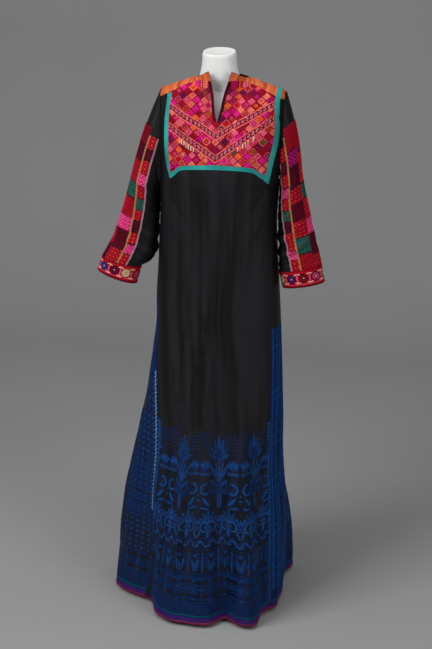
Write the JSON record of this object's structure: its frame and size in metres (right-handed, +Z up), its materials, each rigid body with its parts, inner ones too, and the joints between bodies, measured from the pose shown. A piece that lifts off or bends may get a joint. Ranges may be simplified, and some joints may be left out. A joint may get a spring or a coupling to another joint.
{
  "type": "thobe dress on dress form",
  "caption": "Long-sleeved embroidered Palestinian thobe, open at neck, cuffs and hem, worn by a white limbless dress form on a hidden round base.",
  "frame": {"origin": "centre of the stand base's underside, on the form's upright axis", "axes": "+Z up, -Y is the front of the dress, -X is the dress's own right side as worn, the viewer's left"},
  "size_m": [0.6403, 0.5329, 1.604],
  "materials": {
    "black_cloth": "black cotton and silk cloth with blue cross-stitch",
    "hem_tape": "magenta corded hem edge",
    "chest_embroidery": "silk cross-stitch in diamonds on red ground",
    "turquoise_ribbon": "ribbed silk ribbon",
    "orange_silk": "orange satin-weave silk",
    "sleeve_patches": "close embroidery in blocks of colour",
    "gold_ribbon": "narrow woven braid, dull gold",
    "silver_ribbon": "narrow woven braid, pale pink and silver",
    "cuff_cloth": "red cuff with embroidered roundels",
    "form_white": "smooth white dress form",
    "stand_steel": "satin steel tube",
    "stand_base": "grey painted steel"
  },
  "bodies": {
    "root": {"front_panel": "black_cloth", "back_panel": "black_cloth", "side_gore_left": "black_cloth", "side_gore_right": "black_cloth", "sleeve_left": "black_cloth", "sleeve_right": "black_cloth", "hem_tape": "hem_tape", "chest_panel": "chest_embroidery", "chest_ribbon_bottom": "turquoise_ribbon", "chest_ribbon_left": "turquoise_ribbon", "chest_ribbon_right": "turquoise_ribbon", "yoke_left": "orange_silk", "yoke_right": "orange_silk", "wide_patches_front_left": "sleeve_patches", "wide_patches_back_left": "sleeve_patches", "narrow_patches_front_left": "sleeve_patches", "narrow_patches_back_left": "sleeve_patches", "wide_patches_front_right": "sleeve_patches", "wide_patches_back_right": "sleeve_patches", "narrow_patches_front_right": "sleeve_patches", "narrow_patches_back_right": "sleeve_patches", "gold_ribbon_front_left": "gold_ribbon", "gold_ribbon_back_left": "gold_ribbon", "gold_ribbon_front_right": "gold_ribbon", "gold_ribbon_back_right": "gold_ribbon", "silver_ribbon_front_left": "silver_ribbon", "silver_ribbon_back_left": "silver_ribbon", "silver_ribbon_front_right": "silver_ribbon", "silver_ribbon_back_right": "silver_ribbon", "cuff_left": "cuff_cloth", "cuff_right": "cuff_cloth", "form_torso": "form_white", "form_neck_cap": "form_white", "form_pole": "stand_steel", "form_base": "stand_base"}
  },
  "joints": []
}
